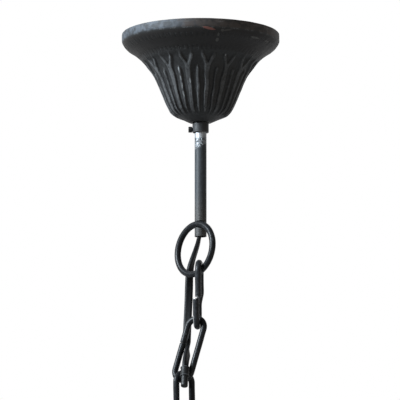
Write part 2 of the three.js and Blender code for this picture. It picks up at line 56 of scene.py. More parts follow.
cameraData = bpy.data.cameras.new("camera")
cameraData.lens = cameraView["lens"]
cameraData.sensor_width = cameraView["sensor"]
cameraData.clip_start, cameraData.clip_end = (clip * mm for clip in cameraView["clips"])
camera = bpy.data.objects.new("camera", cameraData)
camera.location = Vector(cameraView["place"]) * mm
camera.rotation_euler = (math.radians(90 + cameraView["tilt"]), 0, 0)
scene.collection.objects.link(camera)
scene.camera = camera
print("camera set")


# Shader maths: a field is a socket that the usual operators work on
class Field:
    def __init__(self, tree, socket):
        self.tree = tree
        self.socket = socket

    def make(self, kind, inputs, out=0, **settings):
        made = self.tree.nodes.new(kind)
        for key, value in settings.items():
            setattr(made, key, value)
        for key, value in inputs.items():
            if isinstance(value, Field):
                self.tree.links.new(value.socket, made.inputs[key])
            else:
                made.inputs[key].default_value = value
        return Field(self.tree, made.outputs[out])

    def maths(self, operation, *values):
        return self.make("ShaderNodeMath", dict(enumerate(values)), operation=operation)

    def __add__(self, other):
        return self.maths("ADD", self, other)

    def __radd__(self, other):
        return self.maths("ADD", other, self)

    def __sub__(self, other):
        return self.maths("SUBTRACT", self, other)

    def __rsub__(self, other):
        return self.maths("SUBTRACT", other, self)

    def __mul__(self, other):
        return self.maths("MULTIPLY", self, other)

    def __rmul__(self, other):
        return self.maths("MULTIPLY", other, self)

    def __truediv__(self, other):
        return self.maths("DIVIDE", self, other)

    def __pow__(self, other):
        return self.maths("POWER", self, other)

    def absolute(self):
        return self.maths("ABSOLUTE", self)

    def most(self, other):
        return self.maths("MAXIMUM", self, other)

    def least(self, other):
        return self.maths("MINIMUM", self, other)

    # 0 below low, 1 above high, and smooth between
    def rise(self, low, high):
        inputs = {0: self, 1: low, 2: high}
        return self.make("ShaderNodeMapRange", inputs, interpolation_type="SMOOTHSTEP")

    # 1 near centre, 0 further than width from it
    def near(self, centre, width):
        return 1 - (self - centre).absolute().rise(width * 0.5, width)

    # x, y or z of a place, by its number
    def part(self, axis):
        return self.make("ShaderNodeSeparateXYZ", {0: self}, axis)

    def stretched(self, scale, move=(0, 0, 0)):
        return self.make("ShaderNodeMapping", {"Vector": self, "Scale": scale, "Location": move})

    def noise(self, scale, detail=2.0, roughness=0.5):
        inputs = {"Vector": self, "Scale": scale, "Detail": detail, "Roughness": roughness}
        return self.make("ShaderNodeTexNoise", inputs)

    # the distance from the nearest of many scattered points
    def spots(self, scale):
        return self.make("ShaderNodeTexVoronoi", {"Vector": self, "Scale": scale})

    # this field as the share of colour b over colour a
    def blend(self, a, b):
        inputs = {0: self, 6: a, 7: b}
        return self.make("ShaderNodeMix", inputs, 2, data_type="RGBA")


def grey(value, tint=(1, 1, 1)):
    return (value * tint[0], value * tint[1], value * tint[2], 1)


# A finish: its shader, and the place on the piece in millimetres
class Finish:
    def __init__(self, name, metallic=0.0, specular=0.5):
        self.material = bpy.data.materials.new(name)
        self.material.use_nodes = True
        self.tree = self.material.node_tree
        self.shader = self.tree.nodes["Principled BSDF"]
        self.shader.inputs["Metallic"].default_value = metallic
        self.shader.inputs["Specular IOR Level"].default_value = specular
        coordinates = self.tree.nodes.new("ShaderNodeTexCoord")
        start = Field(self.tree, coordinates.outputs["Object"])
        self.place = start.stretched((1000, 1000, 1000))

    # a number that the mesh carries at each point
    def carried(self, name, out="Fac"):
        return self.place.make("ShaderNodeAttribute", {}, out, attribute_name=name)

    # depth is how far the relief goes, in millimetres
    def fill(self, colour, roughness, metallic=None, height=None, depth=0.1):
        for name, value in [("Base Color", colour), ("Roughness", roughness), ("Metallic", metallic)]:
            if isinstance(value, Field):
                self.tree.links.new(value.socket, self.shader.inputs[name])
            elif value is not None:
                self.shader.inputs[name].default_value = value
        if height is not None:
            bumped = height.make("ShaderNodeBump", {"Height": height, "Distance": depth * mm})
            self.tree.links.new(bumped.socket, self.shader.inputs["Normal"])
        return self.material


# Meshes
def pieceOf(bm, name, material, creaseAngle=38):
    mesh = bpy.data.meshes.new(name)
    bm.to_mesh(mesh)
    bm.free()
    mesh.shade_smooth()
    mesh.set_sharp_from_angle(angle=math.radians(creaseAngle))
    mesh.materials.append(material)
    made = bpy.data.objects.new(name, mesh)
    scene.collection.objects.link(made)
    return made


# Puts a piece on its body, if it is given one, in the place of a node
def settle(piece, body, node):
    if body:
        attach(piece, body)
    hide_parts(node)
    return piece


# A profile of (radius, z) points, spun about the z axis. An open one starts and ends on the axis
def spun(profile, steps, closed=True):
    bm = bmesh.new()
    points = [bm.verts.new(Vector((r, 0, z)) * mm) for r, z in profile]
    following = points[1:] + points[:1] if closed else points[1:]
    edges = [bm.edges.new(pair) for pair in zip(points, following)]
    bmesh.ops.spin(bm, geom=points + edges, cent=(0, 0, 0), axis=(0, 0, 1), angle=math.tau, steps=steps,
                   use_merge=True)
    bmesh.ops.remove_doubles(bm, verts=bm.verts, dist=1e-7)
    bmesh.ops.recalc_face_normals(bm, faces=bm.faces)
    return bm


# Rounds the corners of a (radius, z) profile, but not those on the axis
def rounded(profile, radius, steps=3):
    out = []
    count = len(profile)
    most = 0.45  # of each side, so that two corners never meet
    for i, corner in enumerate(profile):
        before, here, after = Vector(profile[i - 1]), Vector(corner), Vector(profile[(i + 1) % count])
        if corner[0] == 0:
            out.append(corner)
            continue
        toBefore, toAfter = before - here, after - here
        reach = min(radius, toBefore.length * most, toAfter.length * most)
        a, b = here + toBefore.normalized() * reach, here + toAfter.normalized() * reach
        for k in range(steps + 1):
            t = k / steps
            at = a * (1 - t) ** 2 + here * 2 * t * (1 - t) + b * t * t
            out.append((at.x, at.y))
    return out


# 0 below low, 1 above high, and smooth between, for plain numbers
def smoothStep(low, high, x):
    t = min(max((x - low) / (high - low), 0), 1)
    return t * t * (3 - 2 * t)


# Cuts one bmesh's shape out of another's, by a Boolean modifier that is then applied
def carved(bm, tool):
    holders = []
    for name, shape in (("carving", bm), ("carver", tool)):
        mesh = bpy.data.meshes.new(name)
        shape.to_mesh(mesh)
        shape.free()
        holders.append(bpy.data.objects.new(name, mesh))
        scene.collection.objects.link(holders[-1])
    cut = holders[0].modifiers.new("cut", "BOOLEAN")
    cut.operation = "DIFFERENCE"
    cut.solver = "EXACT"
    cut.object = holders[1]
    bpy.context.view_layer.update()
    result = bmesh.new()
    result.from_object(holders[0], bpy.context.evaluated_depsgraph_get())
    for holder in holders:
        mesh = holder.data
        bpy.data.objects.remove(holder)
        bpy.data.meshes.remove(mesh)
    return result


# A smooth line through points, as pairs of a place and how many points along it is. An even line takes
# every span as equally long
def smoothLine(points, perSpan, even=False):
    p = [np.array(point, float) for point in points]
    ends = (p[0], p[-1]) if even else (2 * p[0] - p[1], 2 * p[-1] - p[-2])
    p = [ends[0], *p, ends[1]]
    out = []
    for i in range(1, len(p) - 2):
        before, a, b, after = p[i - 1:i + 3]
        if even:
            leave, arrive = (b - before) / 2, (after - a) / 2
        else:
            gaps = [max(np.linalg.norm(v) ** 0.5, 1e-6) for v in (a - before, b - a, after - b)]
            leave = (a - before) / gaps[0] - (b - before) / (gaps[0] + gaps[1]) + (b - a) / gaps[1]
            arrive = (b - a) / gaps[1] - (after - a) / (gaps[1] + gaps[2]) + (after - b) / gaps[2]
            leave, arrive = leave * gaps[1], arrive * gaps[1]
        last = i == len(p) - 3
        for k in range(perSpan + last):
            t = k / perSpan
            place = ((2 * t ** 3 - 3 * t ** 2 + 1) * a + (t ** 3 - 2 * t ** 2 + t) * leave
                     + (3 * t ** 2 - 2 * t ** 3) * b + (t ** 3 - t ** 2) * arrive)
            out.append((place, i - 1 + t))
    return out


# Flex: a flat twin cord, straight in the tube and then round the chain. The route is places and turns, and
# the breaks are distances along it
flex = {
    "width": 6.8,
    "thickness": 3.6,
    "valley": 0.22,
    "valleyHalf": 0.8,
    "flatness": 2.6,
    "sideCurve": 0.35,
    "faceCurve": 0.55,
    "sides": 28,
    "step": 1.6,
    "perSpan": 40,
    "creaseAngle": 60,
    "tubeTurn": 132.2,
    "tubePlace": (1.1112, 1.0076),
    "tubeHeights": (-12, -150.4, -160.4, -165.4),
    "route": [
        ((-1.2, 0.2, -173.3), 90), ((-2.4, 2, -178.4), 84), ((-4.3, 5, -184.2), 78),
        ((-6.3, 7.4, -189.8), 70), ((-8.2, 8.8, -196.5), 54), ((-9.3, 8.8, -204.1), 34),
        ((-9.7, 7.4, -213.5), 16), ((-10, 6, -223.8), 4), ((-10.4, 4.6, -234.1), -4),
        ((-10.9, 3.2, -244.5), -8), ((-11.3, 1.4, -254.4), -18),
        ((-11.3, -0.8, -262), -42), ((-10.9, -5, -267.4), -88), ((-11.3, -10, -272.4), -118),
        ((-12.1, -15.2, -277.6), -118), ((-12.6, -18.6, -282.2), -118), ((-12.7, -19.6, -284.2), -118),
    ],
    "leavesTube": 160.8,
    "breaks": (201.8, 242.8, 264.6),
}


class FlexLine:
    def __init__(self):
        x, y = flex["tubePlace"]
        route = [((x, y, z), flex["tubeTurn"]) for z in flex["tubeHeights"]] + flex["route"]
        line = smoothLine([place for place, turn in route], flex["perSpan"])
        self.places = np.array([place for place, at in line])
        turns = [turn for place, turn in route]
        self.turns = np.interp([at for place, at in line], range(len(turns)), turns)
        steps = np.linalg.norm(np.diff(self.places, axis=0), axis=1)
        self.travelled = np.concatenate([[0], np.cumsum(steps)])
        self.length = self.travelled[-1]

    def at(self, distance):
        return Vector([np.interp(distance, self.travelled, self.places[:, k]) for k in range(3)])

    # the directions along the flex, across its width and through its thickness
    def axes(self, distance):
        reach = 0.6  # the direction is taken from this far before to this far after
        after, before = self.at(min(distance + reach, self.length)), self.at(max(distance - reach, 0))
        along = (after - before).normalized()
        turn = math.radians(np.interp(distance, self.travelled, self.turns))
        thick = along.cross(Vector((math.cos(turn), math.sin(turn), 0))).normalized()
        return along, thick.cross(along), thick


flexLine = FlexLine()


def flexSection(distance):
    along, wide, thick = flexLine.axes(distance)
    middle = flexLine.at(distance)
    half = flex["thickness"] / 2
    reach = flex["width"] / 2 - half
    out = []
    for k in range(flex["sides"]):
        a = math.tau * k / flex["sides"]
        x, y = math.cos(a), math.sin(a)
        side = reach * math.copysign(min(abs(x) * flex["flatness"], 1), x)
        side += half * x * abs(x) ** flex["sideCurve"]
        rise = half * math.copysign(abs(y) ** flex["faceCurve"], y)
        rise -= math.copysign(flex["valley"] * math.exp(-(side / flex["valleyHalf"]) ** 2), y)
        out.append((middle + wide * side + thick * rise) * mm)
    return out


def loopEdges(bm, loop):
    return [bm.edges.get((loop[k], loop[(k + 1) % len(loop)])) for k in range(len(loop))]


# A stretch of flex, extruded from section to section, and the path along its middle
def flexStretch(name, start, end, material):
    count = max(4, round((end - start) / flex["step"]))
    distances = [start + (end - start) * i / count for i in range(count + 1)]
    bm = bmesh.new()
    ring = bmesh.ops.create_circle(bm, segments=flex["sides"], radius=1)["verts"]
    for vert, place in zip(ring, flexSection(start)):
        vert.co = place
    for distance in distances[1:]:
        new = bmesh.ops.extrude_edge_only(bm, edges=loopEdges(bm, ring))["geom"]
        above = {}
        for vert in new:
            if isinstance(vert, bmesh.types.BMVert):
                for edge in vert.link_edges:
                    above[edge.other_vert(vert)] = vert
        ring = [above[vert] for vert in ring]
        for vert, place in zip(ring, flexSection(distance)):
            vert.co = place
    bmesh.ops.holes_fill(bm, edges=[e for e in bm.edges if e.is_boundary], sides=0)
    bmesh.ops.recalc_face_normals(bm, faces=bm.faces)
    piece = pieceOf(bm, name, material, flex["creaseAngle"])
    rest = piece.data.attributes.new("restPlace", "FLOAT_VECTOR", "POINT")
    rest.data.foreach_set("vector", [x for v in piece.data.vertices for x in v.co])
    path = [flexLine.at(d) * mm for d in distances]
    return piece, path


# Black sheath. Its pattern reads the place at rest, so it stays on the flex when that bends
def sheathFinish():
    finish = Finish("flexSheath", specular=0.22)
    place = finish.carried("restPlace", "Vector").stretched((1000, 1000, 1000))
    dust = place.noise(0.35, 4, 0.6)
    streak = place.stretched((1, 1, 0.12)).noise(1.7, 3, 0.6)
    clean, paleTone = grey(0.005, (0.95, 0.97, 1.1)), grey(0.013, (0.95, 0.98, 1.08))
    colour = dust.rise(0.45, 0.75).blend(clean, paleTone)
    relief = streak * 0.6 + place.noise(3.2, 2) * 0.4
    return finish.fill(colour, 0.42 + streak * 0.2, height=relief, depth=0.08)


flexSheath = sheathFinish()
flexStops = [flex["leavesTube"], *flex["breaks"], flexLine.length]
settle(flexStretch("flexInTube", 0, flexStops[0], flexSheath)[0], "stem", "flex_in_tube")

freeStretches = [
    ("flexBelowTube", "flex_at_ring", "stem", "ring"),
    ("flexAtFirstLink", "flex_at_link_1", "ring", "first_link"),
    ("flexAtSecondLink", "flex_at_link_2", "first_link", "second_link"),
    ("flexEnd", "flex_at_link_2", "second_link", "third_link"),
]
for (name, node, *bodies), start, end in zip(freeStretches, flexStops, flexStops[1:]):
    piece, path = flexStretch(name, start, end, flexSheath)
    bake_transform(piece)
    settle(piece, None, node)
print("flex laid,", round(flexLine.length - flex["leavesTube"], 1), "mm of it free")


# Fitting on the flex's lower end
fitting = {"radius": 3.6, "rimRadius": 3.95, "rimHeight": 0.9, "height": 8.6, "stepRadius": 2.9,
           "stepHeight": 9, "clear": 0.3, "rounding": 0.28, "segments": 48, "rimShare": 0.955}


def fittingFinish():
    finish = Finish("blackMoulding", specular=0.22)
    wear = finish.place.noise(0.6, 4, 0.65)
    scuffed = (finish.carried("rim") * wear.rise(0.35, 0.6)).rise(0.1, 0.9)
    colour = scuffed.blend(grey(0.007), grey(0.05, (0.95, 0.98, 1.05)))
    return finish.fill(colour, 0.35 + wear * 0.3, height=wear, depth=0.06)


def makeFitting():
    f = fitting
    top, low = f["height"], f["height"] + f["stepHeight"]
    profile = rounded([
        (0, 0), (f["rimRadius"], 0), (f["rimRadius"], f["rimHeight"]), (f["radius"], f["rimHeight"]),
        (f["radius"], top - f["rimHeight"]), (f["rimRadius"], top - f["rimHeight"]), (f["rimRadius"], top),
        (f["stepRadius"], top), (f["stepRadius"], low), (0, low),
    ], f["rounding"])
    bm = spun(profile, f["segments"], closed=False)
    rims = [f["rimRadius"] * mm * f["rimShare"] < Vector(v.co.xy).length for v in bm.verts]
    along = flexLine.axes(flexLine.length)[0]
    turn = along.to_track_quat("Z", "X").to_matrix().to_4x4()
    shift = Matrix.Translation((flexLine.at(flexLine.length) + along * f["clear"]) * mm)
    bmesh.ops.transform(bm, matrix=shift @ turn, verts=bm.verts)
    piece = pieceOf(bm, "flexFitting", fittingFinish())
    rim = piece.data.attributes.new("rim", "FLOAT", "POINT")
    rim.data.foreach_set("value", [float(r) for r in rims])
    return settle(piece, "third_link", "flex_fitting")


fittingPiece = makeFitting()
# Backdrop, floor and light
stageSettings = {"floorHeight": -3000, "floorSize": 6000, "floorGlow": 0.5, "ambient": 0.26,
                 "lampSize": 800, "aim": (0, 0, -150)}
lamps = {
    "keyLight": {"place": (-2150, -900, 1000), "power": 205, "colour": (0.82, 0.92, 1.0)},
    "fillLight": {"place": (1700, -1500, -900), "power": 6, "colour": (1.0, 0.9, 0.74)},
}

world = bpy.data.worlds.new("whiteRoom")
world.use_nodes = True
scene.world = world
worldTree = world.node_tree
background = worldTree.nodes["Background"]
lightPath = worldTree.nodes.new("ShaderNodeLightPath")
seen, glossy, through = (Field(worldTree, lightPath.outputs[f"Is {kind} Ray"])
                         for kind in ("Camera", "Glossy", "Transmission"))
direction = Field(worldTree, worldTree.nodes.new("ShaderNodeTexCoord").outputs["Generated"])
behind = direction.part(1).rise(0.2, 0.9)  # the white sheet stands behind the lamp
white = seen.most(through).most(glossy * behind)
background.inputs["Color"].default_value = (1, 1, 1, 1)
strength = white + (1 - white) * stageSettings["ambient"]
worldTree.links.new(strength.socket, background.inputs["Strength"])

for name, settings in lamps.items():
    data = bpy.data.lights.new(name, "AREA")
    data.shape = "SQUARE"
    data.size = stageSettings["lampSize"] * mm
    data.energy = settings["power"]
    data.color = settings["colour"]
    lamp = bpy.data.objects.new(name, data)
    lamp.location = Vector(settings["place"]) * mm
    aim = Vector(stageSettings["aim"]) * mm - lamp.location
    lamp.rotation_euler = aim.to_track_quat("-Z", "Y").to_euler()
    scene.collection.objects.link(lamp)

floorMesh = bmesh.new()
bmesh.ops.create_grid(floorMesh, x_segments=1, y_segments=1, size=stageSettings["floorSize"] * mm)
bmesh.ops.translate(floorMesh, vec=(0, 0, stageSettings["floorHeight"] * mm), verts=floorMesh.verts)
floorFinish = Finish("paleFloor")
floorSeen = floorFinish.place.make("ShaderNodeLightPath", {}, "Is Camera Ray")
glow = floorSeen * stageSettings["floorGlow"]  # keeps the floor pale without more light on the lamp
floorFinish.tree.links.new(glow.socket, floorFinish.shader.inputs["Emission Color"])
floorFinish.shader.inputs["Emission Strength"].default_value = 1
floor = pieceOf(floorMesh, "floor", floorFinish.fill(grey(0.86), 0.9))
scene.view_settings.view_transform = "Standard"
print("stage and light set")


# Canopy. ribStart to ribFade are distances down the bell. armSpread, armWidth, stemHalf, plainWidth and
# wobble are in degrees round it. The outline is shares of the bell's radius and depth
canopy = {
    "rimRadius": 66.8,
    "bandHeight": 5,
    "turnIn": 3.6,
    "turnSteps": 12,
    "stepRadius": 61.8,
    "stepDepth": 12.7,
    "hipShares": (0.49, 0.36),
    "slopeSteps": 14,
    "bellRadius": 50.9,
    "bellDepth": 21,
    "neckRadius": 9.3,
    "height": 75.6,
    "wall": 2.6,
    "holeRadius": 5.3,
    "holeDepth": 8.6,
    "outline": [(1, 0), (0.9, 0.115), (0.787, 0.266), (0.71, 0.414), (0.605, 0.652), (0.524, 0.81),
                (0.486, 0.857), (0.443, 0.89), (0.375, 0.92), (0.3, 0.949), (0.24, 0.975)],
    "outlinePerSpan": 60,
    "insideShares": (0.02, 0.14, 0.27, 0.4, 0.56, 0.7),
    "holeLedge": 5,
    "step": 0.72,
    "columns": 600,
    "creaseAngle": 50,
    "pairs": 15,
    "firstRib": 8.5,
    "ribHeight": 1.5,
    "ribStart": 1.4,
    "ribSinks": 7,
    "armEnd": 5.2,
    "plainEnd": 15.6,
    "plainRise": 4.5,
    "crotch": 18.5,
    "ribFoot": 55,
    "ribFade": 7,
    "armSpread": 5.9,
    "armWidth": 2.9,
    "armTip": 0.55,
    "armCrown": 0.3,
    "stemHalf": 1.4,
    "plainWidth": 3.3,
    "plainTip": 0.4,
    "plainCrown": 0.22,
    "swell": 0.45,
    "swellScale": (0.11, 0.06),
    "wobble": 1.1,
    "wobbleScale": (0.06, 0.1),
    "unevenness": 0.2,
    "unevenScale": 160,
}
onFlange, onInside = -1.0, -2.0  # in the layer "down", for places that aren't on the bell


def bellProfile():
    c = canopy
    points = [(c["bellRadius"] * wide, -(c["bellDepth"] + (c["height"] - c["bellDepth"]) * deep))
              for wide, deep in c["outline"]] + [(c["neckRadius"], -c["height"])]
    return np.array([place for place, at in smoothLine(points, c["outlinePerSpan"], even=True)])


# Points evenly along a line, with the distance travelled to each
def evenly(line, step):
    travelled = np.concatenate([[0], np.cumsum(np.linalg.norm(np.diff(line, axis=0), axis=1))])
    count = round(travelled[-1] / step)
    at = np.linspace(0, travelled[-1], count + 1)
    return np.stack([np.interp(at, travelled, line[:, k]) for k in range(2)], axis=1), at


def quadratic(a, control, b, count):
    a, control, b = (np.array(p, float) for p in (a, control, b))
    t = np.linspace(0, 1, count + 1)[:, None]
    return a * (1 - t) ** 2 + control * 2 * t * (1 - t) + b * t ** 2


# Rim, band and the slope in to the bell
def flangeProfile():
    c = canopy
    rim, band = c["rimRadius"], c["bandHeight"]
    step, bell = (c["stepRadius"], -c["stepDepth"]), (c["bellRadius"], -c["bellDepth"])
    hip = tuple(a + (b - a) * share for a, b, share in zip(step, bell, c["hipShares"]))
    edge = np.array([(rim - 1.0, 0), (rim - 0.45, -0.08), (rim - 0.12, -0.4), (rim, -1), (rim + 0.05, -2.4),
                     (rim, -4)])
    turnIn = quadratic((rim, -band), (rim, -band - c["turnIn"]), step, c["turnSteps"])
    slope = quadratic(step, hip, bell, c["slopeSteps"])
    return np.concatenate([edge, turnIn, slope[1:-1]])


def unevenAt(angle, down, scale, layer):
    return noise.noise(Vector((angle * scale[0], down * scale[1], layer)))


# How far a place stands up, from 0 in a groove to 1 on a rib, by its angle and its distance down the bell.
# Forked ribs open upwards into two arms, and plain ribs stand between them
def ribRise(angle, down):
    c = canopy
    span = 360 / c["pairs"]
    angle += c["wobble"] * unevenAt(angle, down, c["wobbleScale"], 3)
    fromStem = abs((angle - c["firstRib"] + span / 2) % span - span / 2)
    spread = 1 - smoothStep(c["armEnd"], c["crotch"], down)
    arm = c["stemHalf"] + (c["armSpread"] - c["stemHalf"]) * spread
    tip = c["armTip"] + (1 - c["armTip"]) * smoothStep(c["armEnd"] - 1, c["armEnd"] + 4, down)
    filled = smoothStep(c["crotch"] - 7, c["crotch"] + 1, down)
    off = fromStem - arm if fromStem > arm else (arm - fromStem) * (1 - filled)
    thicker = 1 + c["swell"] * unevenAt(angle, down, c["swellScale"], 11)
    width = c["armWidth"] * tip * thicker
    fork = 1 - smoothStep(width * c["armCrown"], width, off)
    plainUp = smoothStep(c["plainEnd"], c["plainEnd"] + c["plainRise"], down)
    plainWidth = c["plainWidth"] * (c["plainTip"] + (1 - c["plainTip"]) * plainUp) * thicker
    plain = plainUp * (1 - smoothStep(plainWidth * c["plainCrown"], plainWidth, span / 2 - fromStem))
    return max(fork, plain)


def makeCanopy():
    c = canopy
    bell, downs = evenly(bellProfile(), c["step"])
    outer = [(r, z, onFlange) for r, z in flangeProfile()] + [(r, z, d) for (r, z), d in zip(bell, downs)]
    wall = c["wall"]
    inner = [(c["rimRadius"] - wall, 0), (c["rimRadius"] - wall, -c["bandHeight"]),
             (c["stepRadius"] - wall * 0.8, -c["stepDepth"] + wall * 0.6)]
    thick = wall + c["ribHeight"]
    for share in c["insideShares"]:
        k = int(share * (len(bell) - 1))
        tangent = bell[k + 1] - bell[k]
        tangent = tangent / np.linalg.norm(tangent)
        inner.append((bell[k][0] + tangent[1] * thick, bell[k][1] - tangent[0] * thick))
    holeTop = c["holeDepth"] - c["height"]
    inner += [(inner[-1][0] - c["holeLedge"], holeTop), (c["holeRadius"], holeTop),
              (c["holeRadius"], -c["height"])]
    profile = outer + [(r, z, onInside) for r, z in reversed(inner)]
    bm = bmesh.new()
    downLayer = bm.verts.layers.float.new("down")
    points = []
    for r, z, d in profile:
        vert = bm.verts.new(Vector((0, -r, z)) * mm)
        vert[downLayer] = d
        points.append(vert)
    edges = [bm.edges.new((a, b)) for a, b in zip(points, points[1:] + points[:1])]
    bmesh.ops.spin(bm, geom=points + edges, cent=(0, 0, 0), axis=(0, 0, 1), angle=math.tau,
                   steps=c["columns"], use_merge=True)
    bmesh.ops.remove_doubles(bm, verts=bm.verts, dist=1e-6)
    crestLayer = bm.verts.layers.float.new("crest")
    outsideLayer = bm.verts.layers.float.new("outside")
    alongBell = np.gradient(bell, axis=0)
    alongBell /= np.linalg.norm(alongBell, axis=1)[:, None]
    for vert in bm.verts:
        x, y = vert.co.x, vert.co.y
        angle = math.degrees(math.atan2(x, -y))
        down = vert[downLayer]
        if down < (onFlange + onInside) / 2:
            continue
        vert[outsideLayer] = 1
        normal = Vector((x, y, 0)).normalized()
        move = c["unevenness"] * noise.noise(vert.co * c["unevenScale"])
        if down >= 0:
            k = min(round(down / downs[1]), len(bell) - 1)
            sunk = smoothStep(c["ribStart"], c["ribStart"] + c["ribSinks"], down)
            sunk *= 1 - smoothStep(c["ribFoot"], c["ribFoot"] + c["ribFade"], down)
            rise = ribRise(angle, down)
            vert[crestLayer] = rise * sunk
            move -= c["ribHeight"] * sunk * (1 - rise)
            normal = normal * -alongBell[k][1] + Vector((0, 0, alongBell[k][0]))
        vert.co += normal * move * mm
    bmesh.ops.recalc_face_normals(bm, faces=bm.faces)
    piece = pieceOf(bm, "canopyShell", canopyFinish(), c["creaseAngle"])
    return settle(piece, "canopy_shell", "canopy")


# Marks in the canopy's paint. A row of ticks is its radius and half width. A chip, like each streak of
# painted highlight, is its turn, half turn, height and half height, and its slope if it has one
canopyMarks = {
    "ticks": 84,
    "tickRows": ((62.2, 2.4), (51.2, 2.3)),
    "red": [(6, 4.8, -8.4, 1.0, -0.2)],
    "pale": [(19, 4.4, -9.3, 0.5, 0.14), (16.2, 1.3, -9.6, 1.0), (14, 1.4, -16, 1.3),
             (13.8, 0.9, -12.6, 1.2), (46, 5, -11.8, 0.7), (62, 3.5, -12, 0.6)],
    # bright: painted highlights, in streaks down the ribs
    "bright": [(-27.8, 0.8, -37, 2.6), (-27.4, 0.7, -43.5, 2.2), (-27, 0.9, -49.5, 2.4),
               (-27.3, 1.0, -56, 2.4), (-14.6, 0.9, -46, 2.0), (26.5, 0.8, -26, 0.8)],
}
coolGrey = (0.98, 1.0, 1.03)


def canopyFinish():
    finish = Finish("canopyPaint", specular=0.28)
    place = finish.place
    x, y, height = (place.part(axis) for axis in range(3))
    crest, outside = finish.carried("crest"), finish.carried("outside")
    turn = x.maths("ARCTAN2", x, y * -1) * math.degrees(1)
    radius = (x * x + y * y) ** 0.5
    broad = place.noise(0.06, 3, 0.6)
    patchy = place.noise(0.16, 4, 0.6)
    mottle = place.noise(0.5, 5, 0.65)
    fine = place.noise(1.1, 4, 0.6)
    grain = place.noise(2.2, 3, 0.6)

    # Paint, thin and greyed by wear on the ribs' crests, with a painted highlight there that is weaker on the
    # right, away from the light, and painted shade, warmer and darker, under the band
    paint = mottle.rise(0.3, 0.75).blend(grey(0.0095, (1.03, 0.99, 0.96)), grey(0.021, coolGrey))
    # crests paler from wear and from a painted highlight, half as strong towards the right
    wearAndHighlight = (crest.rise(0.5, 1.0) * (0.35 + broad.rise(0.35, 0.65)) * mottle.rise(0.25, 0.6)).least(1.0)
    wearAndHighlight = wearAndHighlight * (1 - 0.5 * x.rise(-8, 22))
    paint = (wearAndHighlight * 0.8).blend(paint, grey(0.075, coolGrey))
    # painted shade: darker and warmer under the band
    shadeUnderBand = height.rise(-24, -19) * (1 - height.rise(-9, -7.5))
    paint = (shadeUnderBand * 0.8).blend(paint, grey(0.0052, (1.3, 0.97, 0.84)))

    # Ticks in two rows on the flange: sunk, and darkened with painted shade, both fainter on the right, away
    # from the light
    ticks = turn * (canopyMarks["ticks"] / 360) + 0.37 * grain
    upper, lower = (radius.near(at, half) for at, half in canopyMarks["tickRows"])
    rows = upper.most(lower) * height.rise(-25, -22) * (1 - height.rise(-11, -9.5))
    tickDentAndShade = ticks.maths("FRACT", ticks).near(0.5, 0.26) * rows
    tickDentAndShade = tickDentAndShade * (1 - 0.65 * x.rise(-10, 30)) * outside
    # painted shade in the ticks
    paint = (tickDentAndShade * 0.75).blend(paint, grey(0.0035))

    # Rim band: a patchy painted sheen, cool and pale on the left where the light falls, and painted shade,
    # warm and dark on the right, and scraped at its edges
    band = height.rise(-7.6, -6.4) * radius.rise(64, 65.4)
    # where the band takes its painted sheen and painted shade
    paleTone = band * (0.3 + 0.7 * patchy.rise(0.4, 0.56))
    bandSheen, bandShade = grey(0.078, (0.86, 0.98, 1.16)), grey(0.036, (1.22, 0.98, 0.88))
    paint = (paleTone * 0.85).blend(paint, (x * 0.012 + patchy).rise(0.2, 0.5).blend(bandSheen, bandShade))
    edges = height.near(-7.4, 0.7).most(height.near(-2.6, 0.45)) * radius.rise(63, 64.5)
    scraped = edges * patchy.rise(0.5, 0.58) * fine.rise(0.4, 0.6)
    paint = (scraped * 0.5).blend(paint, grey(0.11, (0.98, 1.0, 1.02)))

    # Chips: a reddish one and pale ones under the band, and specks on the ribs. Bright streaks down the ribs
    # are painted highlights
    ragged = grain * 2.2 - 1.1

    def chipped(kind):
        chips = []
        for atTurn, halfTurn, atHeight, halfHeight, *slope in canopyMarks[kind]:
            across = (turn - atTurn) / halfTurn
            up = (height - atHeight - (turn - atTurn) * sum(slope)) / halfHeight
            chips.append(1 - (across * across + up * up + ragged).rise(0.75, 1.1))
        return reduce(Field.most, chips) * outside

    red, pale, bright = (chipped(kind) for kind in ("red", "pale", "bright"))
    paint = (red * 0.85).blend(paint, grey(1, (0.16, 0.062, 0.05)))
    paint = (pale * 0.55).blend(paint, grey(0.075, (1.0, 0.97, 0.9)))
    speck = place.spots(0.55).rise(0.09, 0.05) * crest.rise(0.6, 0.9) * broad.rise(0.5, 0.62)
    # painted highlight streaks, together with the specks
    bright = bright.most(speck * 0.7)
    paint = (bright * 0.75).blend(paint, grey(0.17, (0.98, 1.0, 1.02)))

    rough = (0.5 + mottle * 0.22 - wearAndHighlight * 0.12 - bright * 0.1).most(0.25)
    relief = mottle * 0.55 + grain * 0.3 - tickDentAndShade * 1.1 - (bright + red + pale) * 0.5
    return finish.fill(paint, rough, height=relief, depth=0.32)


print("canopy cast,", len(makeCanopy().data.polygons), "faces")


# Collar and its screw
collar = {"radius": 6.9, "bore": 5.3, "top": -75.9, "height": 8.3, "rounding": 0.55, "screwHeight": -81.6,
          "screwHole": 2.1, "holeReach": 14}
setScrew = {"radius": 1.8, "length": 1.9, "head": 2.5, "headHeight": 3.1, "slot": 0.75, "slotDepth": 1.0,
            "slotLength": 6, "rounding": 0.45, "clear": 0.3, "steps": 40}
alongMinusX = Matrix.Rotation(-math.pi / 2, 4, "Y")  # turns the z axis to point left
roundSteps = 96  # round the collar and the tube


def cylinder(radius, low, high, matrix=Matrix.Identity(4), segments=32):
    bm = bmesh.new()
    bmesh.ops.create_cone(bm, cap_ends=True, segments=segments, radius1=radius * mm, radius2=radius * mm,
                          depth=(high - low) * mm)
    bmesh.ops.translate(bm, vec=(0, 0, (low + high) / 2 * mm), verts=bm.verts)
    bmesh.ops.transform(bm, matrix=matrix, verts=bm.verts)
    return bm


def boxAt(size, middle):
    bm = bmesh.new()
    bmesh.ops.create_cube(bm, size=1)
    bmesh.ops.scale(bm, vec=Vector(size) * mm, verts=bm.verts)
    bmesh.ops.translate(bm, vec=Vector(middle) * mm, verts=bm.verts)
    return bm


